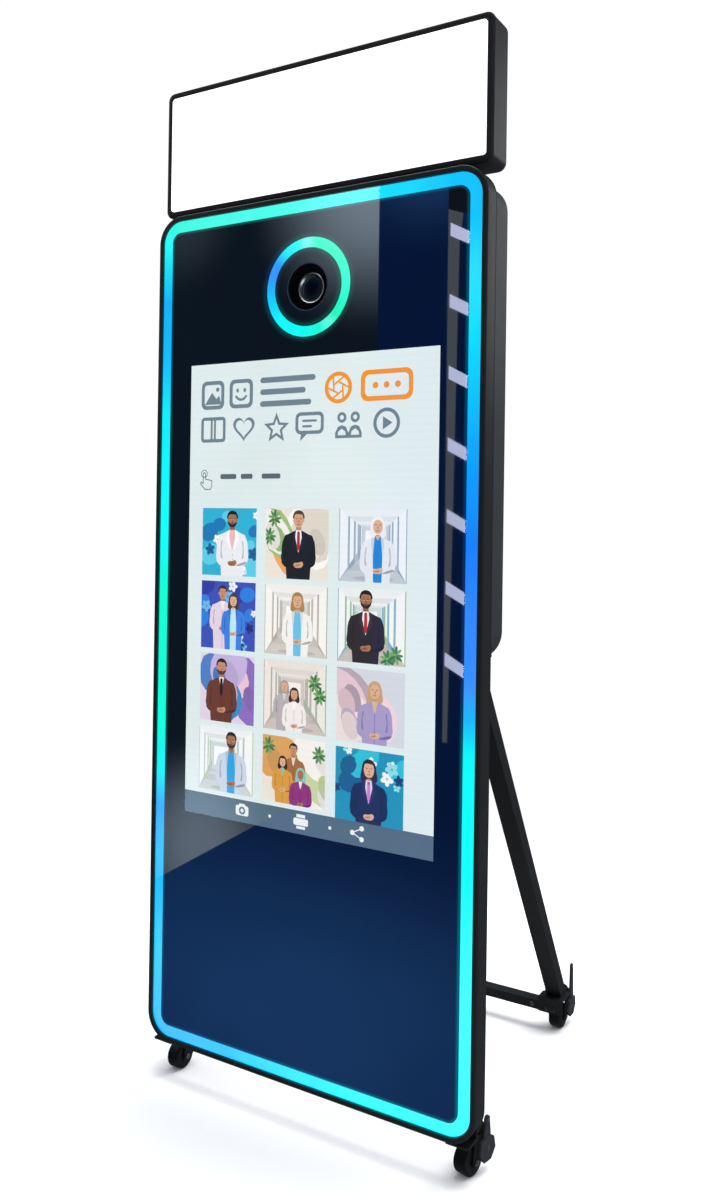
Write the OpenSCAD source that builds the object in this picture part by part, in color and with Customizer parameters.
// Free-standing mirror photo booth: a tall lit glass panel on casters, with a fill light
// on top, a shallow service box behind and a folding rear stand.
// +X is the booth's right as the visitor sees it, +Y is its back, +Z is up.

/* [Panel] */
// Width of the panel over its rim
panel_w = 668; // [624:4:820]
// Height of the panel over its rim
panel_h = 1538; // [1460:2:1900]
// Corner radius of the rim
panel_r = 50; // [40:1:60]
// Depth of the rim
rim_d = 37; // [34:1:45]
// Wall of the rim
rim_wall = 2.5; // [2:0.5:4]
// Width of the rim's front lip
lip_w = 9; // [7:0.5:10]
// Thickness of the rim's front lip
lip_t = 2; // [1.5:0.5:3]
// Height of the panel's underside above the floor
panel_z = 74; // [72:1:90]
// Thickness of the mirror glass
glass_t = 4; // [3:1:6]
// Thickness of the sheet metal covers
sheet_t = 1.5; // [1.2:0.1:2]

/* [Lighting] */
// Width of the lit band
band_w = 21.5; // [16:0.5:26]
// Thickness of the light diffusers
diffuser_t = 5; // [3:0.5:6]
// Outer radius of the lit ring round the camera
ring_r = 86; // [78:1:96]
// Width of the lit ring
ring_w = 18.5; // [12:0.5:22]
// Spacing of the light-emitting diodes along the band
led_pitch = 50; // [40:5:100]

/* [Display] */
// Width of the visible picture
screen_w = 510; // [420:5:540]
// Height of the visible picture
screen_h = 822; // [680:2:850]
// Distance of the picture's upper edge below the panel's top
screen_drop = 282; // [270:2:300]
// Border of the display module round the picture
screen_border = 12; // [8:1:16]
// Depth of the display module
screen_d = 24; // [20:1:26]

/* [Camera] */
// Distance of the lens axis below the panel's top
lens_drop = 162; // [148:1:168]
// Radius of the hole in the glass
camera_hole_r = 41; // [36:1:48]
// Radius of the lens
lens_r = 27; // [24:1:30]
// Distance of the lens front behind the glass face
lens_recess = 12; // [9:1:16]
// Length of the lens
lens_len = 34; // [28:1:36]

/* [Rear box] */
// Inset of the rear box from the panel's sides
box_inset = 2; // [1:1:6]
// Height of the rear box
box_h = 776; // [740:4:800]
// Depth of the rear box
box_d = 50; // [48:1:70]
// Distance of the box's top below the panel's top
box_drop = 12; // [8:1:16]
// Width of the service door
door_w = 300; // [240:5:340]
// Height of the service door
door_h = 360; // [300:5:380]
// Radius of the ventilation opening
fan_r = 38; // [34:1:44]

/* [Light box] */
// Height of the light box
light_h = 239; // [200:1:280]
// Depth of the light box
light_d = 66; // [60:1:90]
// Width of the light box's bezel
bezel_w = 12; // [9:1:16]
// Corner radius of the light box
light_r = 15; // [13:1:20]
// Set-back of the light box from the panel's face
light_setback = 17; // [10:1:20]
// Gap between the panel's top and the light box
light_gap = 4; // [2:1:10]
// Radius of the light box's posts
post_r = 8; // [7:0.5:10]
// Distance between the two posts
post_span = 400; // [300:10:440]

/* [Stand] */
// Inset of each leg's middle from the panel's side
leg_inset = 70; // [64:1:84]
// Width of a leg
leg_w = 32; // [28:1:39]
// Thickness of a leg
leg_t = 26; // [24:1:28]
// Wall of a leg
leg_wall = 2.5; // [2:0.5:3]
// Angle of the legs from the vertical
leg_angle = 32; // [30:0.5:34]
// Height of the stand's hinge above the rear box's underside
hinge_rise = 4; // [2:1:30]
// Distance of the stand's hinge behind the rear box
hinge_off = 22; // [20:1:30]
// Depth of the crossbar
bar_d = 26; // [20:1:30]
// Height of the crossbar
bar_h = 18; // [14:1:20]

/* [Casters] */
// Radius of a caster wheel
wheel_r = 24; // [22:0.5:25]
// Width of a caster wheel
wheel_w = 26; // [20:1:28]
// Distance from the swivel axis to the wheel's axle
trail = 20; // [16:1:24]
// Inset of the front swivel axes from the panel's sides
front_inset = 33; // [29:1:54]
// Distance of the front swivel axes behind the panel's face
front_swivel_y = 78; // [74:1:90]
// Reach of a front brake lever above its pivot
front_lever = 54; // [50:1:62]
// Reach of a rear brake lever above its pivot
rear_lever = 88; // [70:1:96]
// Turn of the front right caster at rest
front_right_turn = -12; // [-12:1:60]

/* [Hidden] */
$fn = 64;

// clearances
run_fit = 0.05;   // radial, round a turning or sliding shaft
gap = 0.3;        // between pieces that move past each other or rest on each other
eps = 1;          // overlap of a cutter past the face that it opens

// fasteners
screw_head_r = 4.5;
screw_head_t = 2;
plate_bolt_r = 2.2;
plate_bolt_x = 12;        // each side of a front caster plate's middle
flange_bolt_r = 2.6;

// knobs
knob_t = 12;
clamp_knob_r = 17;
light_knob_r = 13;
light_stud_r = 3;

// sheet brackets and the stand's foot
plate_t = 4;
ear_t = 3;
pivot_r = 6;
stud_r = 5;
flange_t = 3;
kingpin_r = 5;
neck_r = 13;
foot_reach = 33;          // from the leg's middle at the foot plate to the rear swivel axis
foot_w = 48;
front_plate_w = 40;
front_plate_y = 6;        // front edge of the front caster plate behind the panel's face
front_flange_h = 46;

// caster details
cheek_t = 3;
cheek_gap = 1.5;
axle_r = 4;
disc_r = 22;
disc_t = 5;
disc_y = 4;
disc_z = 38;
lever_t = 4;
crown_r = 16;
hub_sides = 7;
lever_hole_r = 2.6;

// depths, measured back from the panel's face
glass_y = lip_t;
glass_back = glass_y + glass_t;
panel_back = rim_d;
box_back = rim_d + box_d;
pivot_back = box_back + hinge_off;

// heights above the floor
panel_top = panel_z + panel_h;
box_top = panel_top - box_drop;
box_z = box_top - box_h;
light_z = panel_top + light_gap;
pivot_z = box_z + hinge_rise;
foot_z = panel_z;
leg_len = (pivot_z - foot_z) / cos(leg_angle);
foot_back = pivot_back + leg_len * sin(leg_angle);
rear_swivel_y = foot_back + foot_reach;

// the origin is on the floor, midway between the panel's face and the rear hub plates
front = -(rear_swivel_y + disc_y + disc_r * cos(90 / hub_sides)) / 2;

lens_up = panel_top - lens_drop;
screen_up = panel_top - screen_drop - screen_h;
led_outset = lip_w + 1;
leg_x = panel_w / 2 - leg_inset;
front_caster_x = panel_w / 2 - front_inset;
light_y = front + light_setback;
post_x = post_span / 2;
post_back = 25;           // from the box's rear face to the post's axis
post_y = front + box_back - post_back;
post_clamp_z = box_top - 40;
knuckle_r = 4;
door_z = lens_up + 50 - door_h;
hinge_x = -door_w / 2 - knuckle_r;
hinge_y = front + box_back + knuckle_r;
fan_x = 210;
fan_z = box_z + 130;
inlet_x = -190;
inlet_z = box_z + 75;
lock_x = door_w / 2 - 18;
lock_z = door_z + door_h / 2;
pattern = 100;            // spacing of the accessory holes
pattern_hole_r = 2.25;
pattern_z = box_z + 130;

// ---- shared shapes ----

// Rounded rectangle, middle of its lower edge at the origin
module rounded(w, h, r) {
  translate([-w / 2 + r, 0]) square([w - 2 * r, h]);
  translate([-w / 2, r]) square([w, h - 2 * r]);
  for (x = [-w / 2 + r, w / 2 - r], y = [r, h - r]) translate([x, y]) circle(r);
}

// Stands a flat outline up in the XZ plane, from y = 0 back to y = t
module upright(t) { translate([0, t, 0]) rotate([90, 0, 0]) linear_extrude(t) children(); }

// Rounded plate standing upright, x centred, from z = 0 up
module slab(w, h, t, r) { upright(t) rounded(w, h, r); }

// Cylinder along +Y from y = 0
module rod_y(r, len) { rotate([-90, 0, 0]) cylinder(r = r, h = len); }

// Cylinder along +X, centred
module rod_x(r, len) { rotate([0, 90, 0]) cylinder(r = r, h = len, center = true); }

// Box centred in x, from y = 0 and z = 0
module block(w, d, h) { translate([-w / 2, 0, 0]) cube([w, d, h]); }

// Star knob along +Y with grip scallops round its edge
module star_knob(r, grips) {
  upright(knob_t) difference() {
    circle(r);
    for (k = [0:grips - 1]) rotate(k * 360 / grips) translate([r + 2.5, 0]) circle(0.4 * r);
  }
}

// Both sides of the booth
module both() {
  children();
  mirror([1, 0, 0]) children();
}

// ---- panel ----

module frame_rim() color("#35393d")
  translate([0, front, panel_z]) difference() {
    slab(panel_w, panel_h, rim_d, panel_r);
    translate([0, lip_t, rim_wall])
      slab(panel_w - 2 * rim_wall, panel_h - 2 * rim_wall, rim_d, panel_r - rim_wall);
    translate([0, -eps, lip_w])
      slab(panel_w - 2 * lip_w, panel_h - 2 * lip_w, lip_t + 2 * eps, panel_r - lip_w);
    for (s = [-1, 1], x = [-plate_bolt_x, plate_bolt_x])
      translate([s * front_caster_x + x, rim_d / 2, -eps]) cylinder(r = plate_bolt_r, h = rim_wall + 2 * eps);
  }

module mirror_glass() color("#12203c")
  translate([0, front + glass_y, panel_z + rim_wall + gap]) difference() {
    slab(panel_w - 2 * (rim_wall + gap), panel_h - 2 * (rim_wall + gap), glass_t,
         panel_r - rim_wall - gap);
    translate([0, -eps, lens_up - panel_z - rim_wall - gap]) rod_y(camera_hole_r, glass_t + 2 * eps);
  }

// Frame of constant width, inset from the panel's outline
module band(inset, w, t) {
  translate([0, 0, inset]) difference() {
    slab(panel_w - 2 * inset, panel_h - 2 * inset, t, panel_r - inset);
    translate([0, -eps, w])
      slab(panel_w - 2 * (inset + w), panel_h - 2 * (inset + w), t + 2 * eps, panel_r - inset - w);
  }
}

module perimeter_diffuser() color("#9fe8ff")
  translate([0, front + glass_back + gap, panel_z]) band(led_outset, band_w, diffuser_t);

led_y = front + glass_back + gap + diffuser_t + gap;
strip_w = 12;
strip_t = 1.6;
chip = 5;
ring_chips = 24;
board_margin = 2;

// Straight strip with its diodes facing the diffuser, along +Z from z = 0
module led_strip(len) {
  translate([0, chip / 2, 0]) block(strip_w, strip_t, len);
  for (z = [led_pitch / 2:led_pitch:len - chip])
    translate([0, 0, z]) block(chip, chip / 2, chip);
}

module perimeter_led_strips() color("#f4f4ee") {
  run_x = panel_w / 2 - led_outset - band_w / 2;
  side_len = panel_h - 2 * panel_r;
  top_len = panel_w - 2 * panel_r;
  both() translate([run_x, led_y, panel_z + panel_r]) led_strip(side_len);
  for (z = [led_outset + band_w / 2, panel_h - led_outset - band_w / 2])
    translate([-top_len / 2, led_y, panel_z + z]) rotate([0, 90, 0]) led_strip(top_len);
}

module camera_ring_diffuser() color("#9ff5e0")
  translate([0, front + glass_back + gap, lens_up]) difference() {
    rod_y(ring_r, diffuser_t);
    translate([0, -eps, 0]) rod_y(ring_r - ring_w, diffuser_t + 2 * eps);
  }

module camera_ring_led_board() color("#f4f4ee")
  translate([0, led_y, lens_up]) {
    translate([0, chip / 2, 0]) difference() {
      rod_y(ring_r - board_margin, strip_t);
      translate([0, -eps, 0]) rod_y(ring_r - ring_w + board_margin, strip_t + 2 * eps);
    }
    for (k = [0:ring_chips - 1]) rotate([0, k * 360 / ring_chips, 0])
      translate([0, 0, ring_r - ring_w / 2 - chip / 2]) block(chip, chip / 2, chip);
  }

baffle_len = 18;
baffle_wall = 3;
baffle_floor = 2;

// Dark cup between the glass and the lens
module camera_baffle() color("#101114")
  translate([0, front + glass_back + gap, lens_up]) difference() {
    rod_y(camera_hole_r + baffle_wall, baffle_len);
    translate([0, -eps, 0]) rod_y(camera_hole_r, baffle_len - baffle_floor + eps);
    rod_y(lens_r + 1, baffle_len + eps);
  }

// ---- display ----

module_w = screen_w + 2 * screen_border;
module_h = screen_h + 2 * screen_border;
lcd_t = 5;
tray_t = 1.5;
tray_hole_x = 150;
tray_hole_r = 12;
ear_w = 20;
ear_h = 60;
ear_z = 90;
tray_y = front + glass_back + gap + lcd_t;

module display_panel() color("#e0eceb")
  translate([0, front + glass_back + gap, screen_up - screen_border]) block(module_w, lcd_t, module_h);

// Shallow tray behind the display, with four ears that bolt to the back panel
module display_chassis() color("#8a8f94") {
  depth = screen_d - lcd_t;
  translate([0, tray_y, screen_up - screen_border]) difference() {
    block(module_w, depth, module_h);
    translate([0, -eps, tray_t]) block(module_w - 2 * tray_t, depth - tray_t + eps, module_h - 2 * tray_t);
    for (x = [-tray_hole_x, tray_hole_x], z = [module_h / 3, 2 * module_h / 3])
      translate([x, 0, z]) rod_y(tray_hole_r, screen_d);
  }
  back = front + panel_back - sheet_t - gap;
  for (s = [-1, 1], z = [ear_z, module_h - ear_z]) translate([0, 0, screen_up - screen_border + z]) {
    translate([s * (module_w + ear_w) / 2, back - ear_t, 0]) block(ear_w, ear_t, ear_h);
    translate([s * (module_w + tray_t) / 2, tray_y + ear_t, 0]) block(tray_t, back - tray_y - ear_t, ear_h);
  }
}

// ---- back panel and rear box ----

box_w = panel_w - 2 * box_inset;
cable_slot_w = 80;
cable_slot_h = 30;
cable_slot_x = 150;
cable_slot_z = box_z + 330;
louvre_w = 3;
louvre_d = 24;
louvre_count = 10;
louvre_x = box_w / 2 - 90;

module back_panel() color("#2a2d30")
  translate([0, front + panel_back - sheet_t, panel_z + rim_wall + gap]) difference() {
    slab(panel_w - 2 * (rim_wall + gap), panel_h - 2 * (rim_wall + gap), sheet_t,
         panel_r - rim_wall - gap);
    translate([0, -eps, lens_up - panel_z - rim_wall - gap]) rod_y(lens_r + 3, sheet_t + 2 * eps);
    translate([cable_slot_x, -eps, cable_slot_z - panel_z])
      slab(cable_slot_w, cable_slot_h, sheet_t + 2 * eps, cable_slot_h / 3);
  }

// Box outline with rounded corners
module box_outline(inset) {
  translate([0, inset]) rounded(box_w - 2 * inset, box_h - 2 * inset, panel_r - box_inset - inset);
}

module rear_box_shell() color("#4a4d52")
  translate([0, front + panel_back + gap, box_z]) difference() {
    upright(box_d - gap) box_outline(0);
    translate([0, -eps, 0]) upright(box_d - gap - sheet_t + eps) box_outline(sheet_t);
    translate([0, 0, door_z - box_z - 1]) slab(door_w + 2, door_h + 2, box_d + eps, 3);
    translate([fan_x, 0, fan_z - box_z]) rod_y(fan_r, box_d + eps);
    translate([inlet_x, 0, inlet_z - box_z - inlet_h / 2]) block(inlet_w, box_d + eps, inlet_h);
    for (s = [-1, 1]) {
      translate([s * post_x, post_y - front - panel_back - gap, box_h - 5]) cylinder(r = post_r + 1, h = 10);
      translate([s * post_x, 0, post_clamp_z - box_z]) rod_y(4, box_d + eps);
    }
    for (x = [-pattern / 2, pattern / 2], z = [-pattern / 2, pattern / 2])
      translate([x, 0, pattern_z - box_z + z]) rod_y(pattern_hole_r, box_d + eps);
    for (k = [0:louvre_count - 1], s = [-1, 1])
      translate([s * louvre_x + (k - (louvre_count - 1) / 2) * 2 * louvre_w, (box_d - louvre_d) / 2, -eps])
        block(louvre_w, louvre_d, sheet_t + 2 * eps);
  }

// Round-headed screws round the box's back and the panel's lower back
module cabinet_screws() color("#c8cace") {
  z_back = front + box_back;
  for (s = [-1, 1], z = [box_z + 40, box_z + box_h / 2, box_top - 60])
    translate([s * (box_w / 2 - 16), z_back + gap, z]) rod_y(screw_head_r, screw_head_t);
  for (s = [-1, 1], z = [panel_z + 60, (panel_z + box_z) / 2, box_z - 60])
    translate([s * (panel_w / 2 - 18), front + panel_back + gap, z]) rod_y(screw_head_r, screw_head_t);
}

inlet_w = 28;
inlet_h = 50;
inlet_d = 24;
inlet_flange = 11;
socket_w = 22;
socket_h = 17;
rocker_w = 13.4;
rocker_z = 12 + gap;

module power_inlet() color("#17181a")
  translate([inlet_x, front + box_back, inlet_z]) difference() {
    union() {
      translate([0, -inlet_d, -inlet_h / 2 + gap])
        block(inlet_w - 2 * gap, inlet_d + gap, inlet_h - 2 * gap);
      translate([0, gap, -inlet_h / 2 - 5]) slab(inlet_w + 2 * inlet_flange, inlet_h + 10, 2.5, 4);
    }
    translate([0, -16, -inlet_h / 2 + 3]) block(socket_w, inlet_d, socket_h);
    translate([0, -12, rocker_z - 11 - gap]) block(rocker_w + 2 * gap, inlet_d, 22 + 2 * gap);
    for (s = [-1, 1]) translate([s * (inlet_w + inlet_flange) / 2, -1, 0]) rod_y(1.6, 6);
  }

// Rocker that tips about a pin across its middle
module power_switch() color("#b3261e")
  translate([inlet_x, front + box_back - 4, inlet_z + rocker_z]) rotate([90, 0, 90])
    linear_extrude(rocker_w, center = true) polygon([[-3, -8], [6.5, -8.2], [4.5, 0], [3, 8], [-3, 8]]);

// ---- service door ----

pin_r = 1.5;
knuckle = 14;
leaf_t = 1.6;
lock_bore_r = 9;
hinge_zs = [door_z + 50, door_z + door_h - 50 - 3 * knuckle];

// Two knuckles of each hinge and their leaf, with the pin held in them
module door_hinges() color("#9a9da1")
  for (z = hinge_zs) {
    for (k = [0, 2]) translate([hinge_x, hinge_y + gap, z + k * knuckle]) difference() {
      union() {
        cylinder(r = knuckle_r, h = knuckle - gap);
        translate([-16, -knuckle_r, 0]) cube([16, leaf_t, knuckle - gap]);
      }
      translate([0, 0, -eps]) cylinder(r = pin_r, h = knuckle + 2 * eps);
    }
    translate([hinge_x, hinge_y + gap, z - 1]) cylinder(r = pin_r, h = 3 * knuckle + 2 - gap);
  }

module service_door() color("#44474c") {
  translate([0, front + box_back - sheet_t, door_z]) difference() {
    slab(door_w, door_h, sheet_t, 2);
    translate([lock_x, -eps, lock_z - door_z]) rod_y(lock_bore_r + run_fit, sheet_t + 2 * eps);
  }
  for (z = hinge_zs) translate([hinge_x, hinge_y + gap, z + knuckle]) difference() {
    union() {
      cylinder(r = knuckle_r, h = knuckle - gap);
      translate([0, -knuckle_r - gap, 0]) cube([20, leaf_t, knuckle - gap]);
    }
    translate([0, 0, -eps]) cylinder(r = pin_r + run_fit, h = knuckle + 2 * eps);
  }
}

cam_len = 34;

// Key lock with its cam hanging down, clear of the door's edge
module door_lock() color("#b9bcc0")
  translate([lock_x, front + box_back, lock_z]) difference() {
    union() {
      translate([0, gap, 0]) rod_y(lock_bore_r + 2, 2.5);
      translate([0, -4.4, 0]) rod_y(lock_bore_r, 5.4);
      translate([0, -6.8, -cam_len]) block(12, 2.4, cam_len + 6);
    }
    translate([0, 1, -3.5]) block(1.4, 3, 7);
  }

// ---- camera ----

lens_front = front + lens_recess + glass_y;
lens_back = lens_front + lens_len;
lens_bore_r = lens_r - 6;
grip_len = 12;
barrel_lip = 8;
body_w = 122;
body_h = 70;
body_d = 34;
body_drop = 31;           // lens axis above the camera body's underside
tripod_r = 3;

module lens_barrel() color("#16171a")
  translate([0, lens_front, lens_up]) {
    difference() {
      rod_y(lens_r, barrel_lip);
      translate([0, -eps, 0]) rod_y(lens_bore_r, 5 + eps);
    }
    translate([0, barrel_lip, 0]) rod_y(lens_r - 3, lens_len - barrel_lip);
  }

module lens_glass() color("#20263a")
  translate([0, lens_front + 2, lens_up]) rod_y(lens_bore_r - run_fit, 3);

module lens_focus_ring() color("#1d1e21")
  translate([0, lens_front + barrel_lip + gap, lens_up]) difference() {
    rod_y(lens_r - 0.2, grip_len);
    translate([0, -eps, 0]) rod_y(lens_r - 3 + run_fit, grip_len + 2 * eps);
  }

module camera_body() color("#1b1c1f")
  translate([0, lens_back, lens_up - body_drop]) {
    difference() {
      slab(body_w, body_h, body_d, 8);
      translate([0, body_d / 2, -eps]) cylinder(r = tripod_r + run_fit, h = 12);
    }
    translate([body_w / 2 - 16, body_d / 2, body_h]) cylinder(r = 7, h = 4);
  }

bracket_w = 90;
bracket_h = 36;

// Angle bracket from the back panel to the camera's tripod socket
module camera_bracket() color("#6d7176") {
  seat = lens_up - body_drop;
  translate([0, front + panel_back + gap, seat - plate_t])
    block(bracket_w, lens_back + body_d - front - panel_back - gap, plate_t);
  translate([0, front + panel_back + gap, seat - bracket_h]) block(bracket_w, ear_t, bracket_h);
  translate([0, lens_back + body_d / 2, seat - plate_t - 6]) cylinder(r = 8, h = 6);
  translate([0, lens_back + body_d / 2, seat - 1]) cylinder(r = tripod_r, h = 10);
}

// ---- electronics ----

computer = [190, 36, 130];
supply = [200, 38, 62];
controller = [80, 22, 50];
rack_rise = 20;           // supply and controller above the box's underside

module mini_computer() color("#5b5f64")
  translate([-40, front + panel_back + gap, door_z + 12]) difference() {
    slab(computer[0], computer[2], computer[1], 8);
    for (k = [0:7]) translate([-70 + k * 20, computer[1] - 3, 20]) block(8, 4, computer[2] - 40);
  }

module power_supply() color("#a9adb1")
  translate([60, front + panel_back + gap, box_z + rack_rise]) difference() {
    block(supply[0], supply[1], supply[2]);
    for (k = [0:9]) translate([-80 + k * 16, supply[1] - 3, 10]) block(5, 4, supply[2] - 20);
  }

module led_controller() color("#e8e8e4")
  translate([-100, front + panel_back + gap, box_z + rack_rise])
    slab(controller[0], controller[2], controller[1], 3);

fan_half = fan_r + 4;
fan_d = 25;
fan_front = front + box_back - sheet_t - fan_d - gap;
fan_hub_r = 13;
fan_post_r = 3;
fan_post_len = fan_d - 9;
blades = 7;
blade_pitch = 32;
arm_t = 2.5;
wire = 1.8;

// Square frame with the motor's post on four arms
module fan_frame() color("#141517")
  translate([fan_x, fan_front, fan_z]) {
    difference() {
      translate([0, 0, -fan_half]) slab(2 * fan_half, 2 * fan_half, fan_d, 5);
      translate([0, -eps, 0]) rod_y(fan_r, fan_d + 2 * eps);
    }
    rod_y(fan_hub_r, arm_t);
    rod_y(fan_post_r, fan_post_len);
    for (k = [0:3]) rotate([0, 45 + k * 90, 0])
      translate([0, 0.25, fan_hub_r - 2]) block(4, arm_t - 0.5, fan_r - fan_hub_r + 4);
  }

// Hub and blades, turning on the post
module fan_rotor() color("#232427")
  translate([fan_x, fan_front + arm_t + gap, fan_z]) {
    difference() {
      rod_y(fan_hub_r, fan_d - 6);
      translate([0, -eps, 0]) rod_y(fan_post_r + run_fit, fan_post_len - arm_t + eps);
    }
    for (k = [0:blades - 1]) rotate([0, k * 360 / blades, 0]) translate([0, 3, fan_hub_r - 1])
      rotate([0, 0, blade_pitch]) block(2, 14, fan_r - fan_hub_r - 1);
  }

// Wire guard over the ventilation opening
module fan_guard() color("#b4b7ba") {
  back = front + box_back;
  for (r = [fan_half:-12:12]) translate([fan_x, back + gap, fan_z]) difference() {
    rod_y(r, wire);
    translate([0, -eps, 0]) rod_y(r - wire, wire + 2 * eps);
  }
  for (a = [45, 135]) translate([fan_x, back + gap + wire, fan_z]) rotate([0, a, 0])
    translate([0, 0, -fan_half]) block(wire, wire, 2 * fan_half);
}

// ---- light box ----

light_w = panel_w;
diffuser_in = 3;
shell_wall = 3;
ledge = 3;                // lip behind the diffuser
vent_pitch = 20;

module lightbox_housing() color("#3a3d41")
  translate([0, light_y, light_z]) difference() {
    slab(light_w, light_h, light_d, light_r);
    translate([0, -eps, bezel_w])
      slab(light_w - 2 * bezel_w, light_h - 2 * bezel_w, diffuser_in + eps, light_r - 8);
    translate([0, diffuser_in + ledge, shell_wall])
      slab(light_w - 2 * shell_wall, light_h - 2 * shell_wall, light_d - diffuser_in - ledge - 2,
           light_r - shell_wall);
    translate([0, -eps, bezel_w + ledge])
      slab(light_w - 2 * (bezel_w + ledge), light_h - 2 * (bezel_w + ledge), 10, light_r - 11);
    for (k = [-3.5:3.5]) translate([k * vent_pitch, light_d - 4, light_h - 40]) block(6, 6, 22);
  }

module lightbox_diffuser() color("#ffffff")
  translate([0, light_y + 0.6, light_z + bezel_w + gap])
    slab(light_w - 2 * (bezel_w + gap), light_h - 2 * (bezel_w + gap), diffuser_in - 0.6, light_r - 8 - gap);

module lightbox_led_board() color("#f2f2ea") {
  margin = 20;
  board_y = light_y + light_d - 2 - strip_t - gap;
  translate([0, board_y, light_z + margin]) block(light_w - 2 * margin, strip_t, light_h - 2 * margin);
  for (i = [-6:6], j = [-1:1])
    translate([i * 45, board_y - chip / 2, light_z + light_h / 2 + j * 60 - chip / 2])
      block(chip, chip / 2, chip);
}

post_len = 80;
post_shoulder = 4;
socket_floor = 4;
socket_z = box_top - sheet_t - gap - post_len - socket_floor;

// Posts with a shoulder that rests on the sockets
module lightbox_posts() color("#bfc2c6")
  both() translate([post_x, post_y, 0]) {
    translate([0, 0, box_top + gap]) cylinder(r = post_r + post_shoulder, h = light_z - box_top - 2 * gap);
    translate([0, 0, box_top - post_len]) cylinder(r = post_r, h = post_len + 2 * gap);
  }

module light_post_sockets() color("#7c8085")
  both() translate([post_x, post_y, socket_z]) difference() {
    union() {
      cylinder(r = post_r + 5, h = post_len + socket_floor);
      block(30, post_back - sheet_t - gap, post_len + socket_floor);
    }
    translate([0, 0, socket_floor + gap]) cylinder(r = post_r + run_fit, h = post_len + 10);
    translate([0, 0, post_clamp_z - socket_z]) rod_y(light_stud_r + run_fit, box_d);
  }

light_knob_off = 4;

module light_clamp_knob() color("#1a1b1d") {
  translate([post_x, front + box_back + light_knob_off, post_clamp_z]) star_knob(light_knob_r, 6);
  translate([post_x, post_y + post_r + gap, post_clamp_z])
    rod_y(light_stud_r, post_back - post_r - gap + light_knob_off + 1);
}

module light_clamp_knob_right() light_clamp_knob();
module light_clamp_knob_left() mirror([1, 0, 0]) light_clamp_knob();

// ---- rear stand ----

pivot_y = front + pivot_back;
foot_y = front + foot_back;
ear_x = leg_w / 2 + gap;
pivot_eye_r = 14;
bracket_drop = 8;         // hinge bracket's plate below the pivot
bracket_plate_h = 76;
pin_head_r = 10;
pin_head_t = 3;
stud_len = 16;

module stand_hinge_brackets() color("#232528")
  both() translate([leg_x, 0, 0]) {
    translate([0, front + box_back + gap, pivot_z - bracket_drop])
      block(2 * (ear_x + ear_t + 12), ear_t, bracket_plate_h);
    for (s = [-1, 1]) translate([s * (ear_x + ear_t / 2), 0, 0]) difference() {
      union() {
        translate([0, pivot_y, pivot_z]) rod_x(pivot_eye_r, ear_t);
        translate([0, front + box_back + gap, pivot_z]) block(ear_t, hinge_off + 10, pivot_eye_r);
        translate([0, front + box_back + gap, pivot_z - bracket_drop])
          block(ear_t, 12, bracket_plate_h - 16);
      }
      translate([0, pivot_y, pivot_z]) rod_x(pivot_r, ear_t + 2 * eps);
    }
  }

pin_half = ear_x + ear_t + 1;

module stand_pivot_pins() color("#b7babd")
  both() translate([leg_x, pivot_y, pivot_z]) {
    rod_x(pivot_r, 2 * pin_half - 2);
    translate([-pin_half - 0.5, 0, 0]) rod_x(pin_head_r, pin_head_t);
    translate([pin_half - 2 + stud_len / 2, 0, 0]) rod_x(stud_r, stud_len);
  }

module stand_clamp_knob() color("#1a1b1d")
  translate([leg_x + pin_half + 2, pivot_y, pivot_z]) difference() {
    rotate([0, 0, -90]) star_knob(clamp_knob_r, 5);
    rod_x(stud_r + run_fit, 3 * knob_t);
  }

module stand_clamp_knob_right() stand_clamp_knob();
module stand_clamp_knob_left() mirror([1, 0, 0]) stand_clamp_knob();

// Rectangular tube from the hinge down to the foot plate, cut level at the foot
module stand_leg() color("#1e2022")
  difference() {
    translate([leg_x, pivot_y, pivot_z]) rotate([leg_angle, 0, 0]) {
      difference() {
        union() {
          rod_x(leg_t / 2, leg_w);
          translate([-leg_w / 2, -leg_t / 2, -leg_len - leg_t])
            cube([leg_w, leg_t, leg_len + leg_t]);
        }
        translate([-leg_w / 2 + leg_wall, -leg_t / 2 + leg_wall, -leg_len - leg_t - eps])
          cube([leg_w - 2 * leg_wall, leg_t - 2 * leg_wall, leg_len + leg_t - 20]);
        rod_x(pivot_r + run_fit, leg_w + 2 * eps);
      }
    }
    translate([leg_x, foot_y - 60, foot_z - 100]) block(2 * leg_w, 120, 100);
  }

module stand_leg_right() stand_leg();
module stand_leg_left() mirror([1, 0, 0]) stand_leg();

bar_end = leg_x - foot_w / 2 - flange_t;
bar_y = foot_y - 31;
bar_z = foot_z - plate_t - 8 - bar_h;
bar_bolt_r = 2.5;
plate_back = 18;          // foot plate behind the leg's middle

module stand_crossbar() color("#1e2022")
  translate([0, bar_y, bar_z]) difference() {
    block(2 * bar_end - 2 * gap, bar_d, bar_h);
    for (s = [-1, 1]) translate([s * bar_end, bar_d / 2, bar_h / 2]) rod_x(bar_bolt_r, 40);
  }

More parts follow.
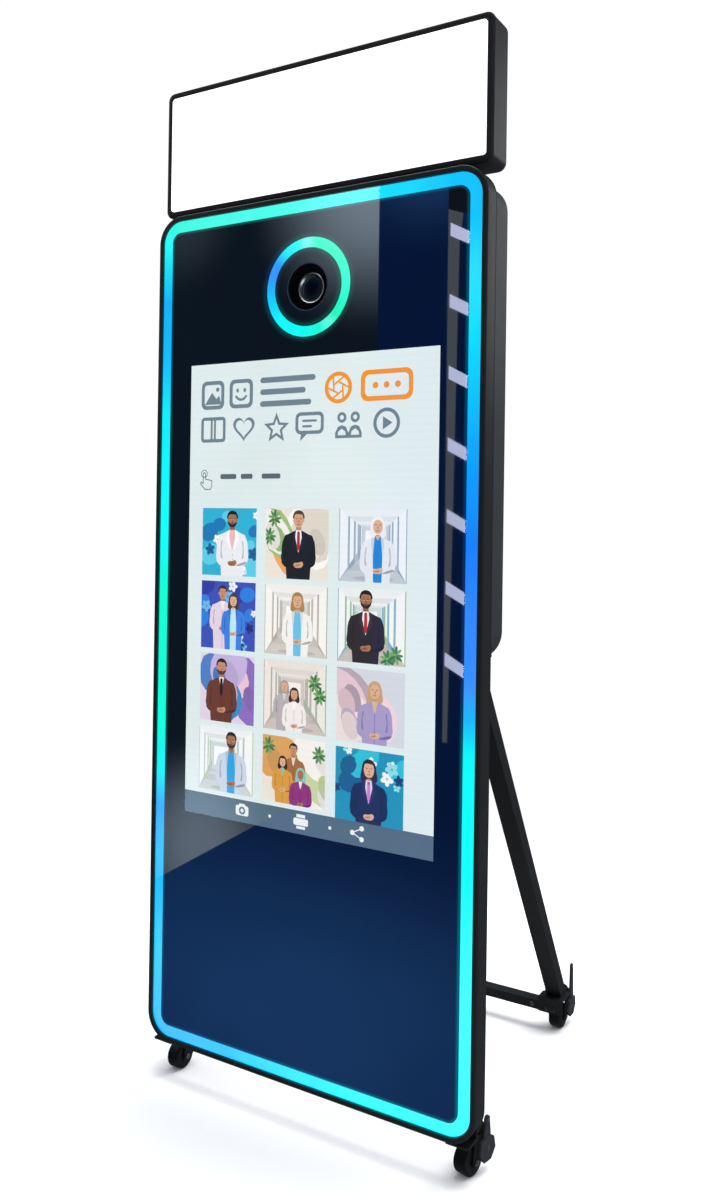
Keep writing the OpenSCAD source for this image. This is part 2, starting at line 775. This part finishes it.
// Folded foot: top plate with a neck for the caster, front flange and inner flange
module foot_brackets() color("#26282b")
  both() difference() {
    union() {
      translate([leg_x, bar_y - flange_t, foot_z - plate_t - gap]) {
        block(foot_w, foot_y + plate_back - bar_y + flange_t, plate_t);
        block(2 * neck_r, rear_swivel_y + front - bar_y + flange_t, plate_t);
      }
      translate([leg_x, front + rear_swivel_y, foot_z - plate_t - gap]) cylinder(r = neck_r, h = plate_t);
      translate([leg_x, bar_y - flange_t, bar_z]) block(foot_w, flange_t - gap, foot_z - gap - bar_z);
      translate([bar_end, bar_y - flange_t, bar_z]) cube([flange_t, bar_d + flange_t, foot_z - gap - bar_z]);
    }
    translate([leg_x, front + rear_swivel_y, foot_z - plate_t - 2])
      cylinder(r = kingpin_r + run_fit, h = plate_t + 4);
    translate([bar_end, bar_y + bar_d / 2, bar_z + bar_h / 2]) rod_x(flange_bolt_r, 20);
    for (x = [-10, 6]) translate([leg_x + x, bar_y - 2 * flange_t, bar_z + 8]) rod_y(flange_bolt_r, 12);
  }

// ---- front caster brackets ----

module front_caster_brackets() color("#26282b")
  both() difference() {
    union() {
      translate([front_caster_x, front + front_plate_y, panel_z - plate_t - gap]) {
        block(2 * neck_r, front_swivel_y - front_plate_y, plate_t);
        block(front_plate_w, panel_back + gap + flange_t - front_plate_y, plate_t);
      }
      translate([front_caster_x, front + front_swivel_y, panel_z - plate_t - gap])
        cylinder(r = neck_r, h = plate_t);
      translate([front_caster_x, front + panel_back + gap, panel_z - plate_t - gap])
        block(front_plate_w, flange_t, front_flange_h);
    }
    translate([front_caster_x, front + front_swivel_y, panel_z - plate_t - 2])
      cylinder(r = kingpin_r + run_fit, h = plate_t + 4);
    for (x = [-plate_bolt_x, plate_bolt_x])
      translate([front_caster_x + x, front + rim_d / 2, panel_z - plate_t - 2])
        cylinder(r = plate_bolt_r, h = plate_t + 4);
  }

// ---- casters ----

// Puts a caster in its place: p is the swivel axis's x and y and the turn at rest
module at(p) { translate([p[0], front + p[1], 0]) rotate([0, 0, p[2]]) children(); }

cheek_x = wheel_w / 2 + cheek_gap + cheek_t / 2;
hood_z = panel_z - plate_t - 2 * gap;

cheek_r = 9;
hood_off = 10;            // crown's thickness
tread_gap = 1.2;

// Side outline of a cheek: an eye round the axle and another round the brake pivot
module cheek_outline() {
  translate([-trail, wheel_r]) circle(cheek_r);
  translate([disc_y, disc_z]) circle(cheek_r);
  polygon([[-trail - cheek_r, wheel_r], [-trail - 2, hood_z - 8], [disc_y + cheek_r, hood_z - 8],
           [disc_y + cheek_r, disc_z], [disc_y + 4, disc_z - 8], [-trail + 4, wheel_r - 8]]);
}

// Kingpin, crown, hood over the wheel and two cheeks
module caster_fork(side) color("#17181a") {
  difference() {
    union() {
      cylinder_z(kingpin_r, hood_z - 2, panel_z + gap);
      cylinder_z(kingpin_r + 4, panel_z, panel_z + 3);
      cylinder_z(crown_r, hood_z - hood_off, hood_z);
      translate([0, -trail - 6, hood_z - hood_off])
        block(2 * cheek_x + cheek_t, trail + 6 + disc_y + cheek_r, 6);
      for (s = [-1, 1]) translate([s * cheek_x - cheek_t / 2, 0, 0])
        rotate([90, 0, 90]) linear_extrude(cheek_t) cheek_outline();
    }
    translate([0, -trail, wheel_r]) rod_x(axle_r + run_fit, 80);
    translate([side * cheek_x, disc_y, disc_z]) rod_x(axle_r + run_fit, cheek_t + 2 * eps);
    translate([0, -trail, wheel_r]) rod_x(wheel_r + tread_gap, wheel_w + 2 * cheek_gap);
  }
}

module cylinder_z(r, z1, z2) { translate([0, 0, z1]) cylinder(r = r, h = z2 - z1); }

module caster_axle() color("#c4c7ca")
  translate([0, -trail, wheel_r]) {
    rod_x(axle_r, 2 * cheek_x + cheek_t + 1);
    for (s = [-1, 1]) translate([s * (cheek_x + cheek_t / 2 + gap + 0.75), 0, 0]) rod_x(axle_r + 1, 1.5);
  }

module caster_wheel() color("#101113")
  translate([0, -trail, wheel_r]) rotate([0, 90, 0]) rotate_extrude() {
    half = wheel_w / 2;
    bead = 4;
    translate([axle_r + run_fit, -half]) square([wheel_r - bead - axle_r - run_fit, wheel_w]);
    translate([wheel_r - bead - 0.01, -half + bead]) square([bead + 0.01, wheel_w - 2 * bead]);
    for (s = [-1, 1]) translate([wheel_r - bead, s * (half - bead)]) circle(bead);
  }

// Faceted hub plate with a tapered lever, on a pin through the cheek
module brake_lever(side, reach) color("#303336")
  mirror([side < 0 ? 1 : 0, 0, 0]) translate([cheek_x + cheek_t / 2 + gap, disc_y, disc_z]) {
    translate([-cheek_t - gap, 0, 0]) rotate([0, 90, 0]) cylinder(r = axle_r, h = cheek_t + gap + 1);
    rotate([90, 0, 90]) linear_extrude(disc_t) rotate(90) circle(disc_r, $fn = hub_sides);
    rotate([90, 0, 90]) linear_extrude(lever_t) difference() {
      union() {
        polygon([[-10, 8], [10, 8], [6, reach - 8], [-6, reach - 8]]);
        translate([0, reach - 7]) circle(6);
      }
      translate([0, reach - 7]) circle(lever_hole_r);
    }
  }

front_right_at = [front_caster_x, front_swivel_y, front_right_turn];
front_left_at = [-front_caster_x, front_swivel_y, 0];
rear_right_at = [leg_x, rear_swivel_y, 0];
rear_left_at = [-leg_x, rear_swivel_y, 0];

module caster_fork_front_right() at(front_right_at) caster_fork(1);
module caster_axle_front_right() at(front_right_at) caster_axle();
module caster_wheel_front_right() at(front_right_at) caster_wheel();
module brake_lever_front_right() at(front_right_at) brake_lever(1, front_lever);

module caster_fork_front_left() at(front_left_at) caster_fork(-1);
module caster_axle_front_left() at(front_left_at) caster_axle();
module caster_wheel_front_left() at(front_left_at) caster_wheel();
module brake_lever_front_left() at(front_left_at) brake_lever(-1, front_lever);

module caster_fork_rear_right() at(rear_right_at) caster_fork(1);
module caster_axle_rear_right() at(rear_right_at) caster_axle();
module caster_wheel_rear_right() at(rear_right_at) caster_wheel();
module brake_lever_rear_right() at(rear_right_at) brake_lever(1, rear_lever);

module caster_fork_rear_left() at(rear_left_at) caster_fork(-1);
module caster_axle_rear_left() at(rear_left_at) caster_axle();
module caster_wheel_rear_left() at(rear_left_at) caster_wheel();
module brake_lever_rear_left() at(rear_left_at) brake_lever(-1, rear_lever);

frame_rim();
mirror_glass();
perimeter_diffuser();
perimeter_led_strips();
camera_ring_diffuser();
camera_ring_led_board();
camera_baffle();
display_panel();
display_chassis();
back_panel();
rear_box_shell();
cabinet_screws();
camera_bracket();
camera_body();
lens_barrel();
lens_glass();
lens_focus_ring();
mini_computer();
power_supply();
led_controller();
fan_frame();
fan_guard();
fan_rotor();
power_inlet();
power_switch();
door_hinges();
service_door();
door_lock();
light_post_sockets();
light_clamp_knob_left();
light_clamp_knob_right();
lightbox_housing();
lightbox_diffuser();
lightbox_led_board();
lightbox_posts();
stand_hinge_brackets();
stand_pivot_pins();
stand_clamp_knob_left();
stand_clamp_knob_right();
stand_leg_left();
stand_leg_right();
stand_crossbar();
foot_brackets();
front_caster_brackets();
caster_fork_front_right();
caster_axle_front_right();
caster_wheel_front_right();
brake_lever_front_right();
caster_fork_front_left();
caster_axle_front_left();
caster_wheel_front_left();
brake_lever_front_left();
caster_fork_rear_right();
caster_axle_rear_right();
caster_wheel_rear_right();
brake_lever_rear_right();
caster_fork_rear_left();
caster_axle_rear_left();
caster_wheel_rear_left();
brake_lever_rear_left();
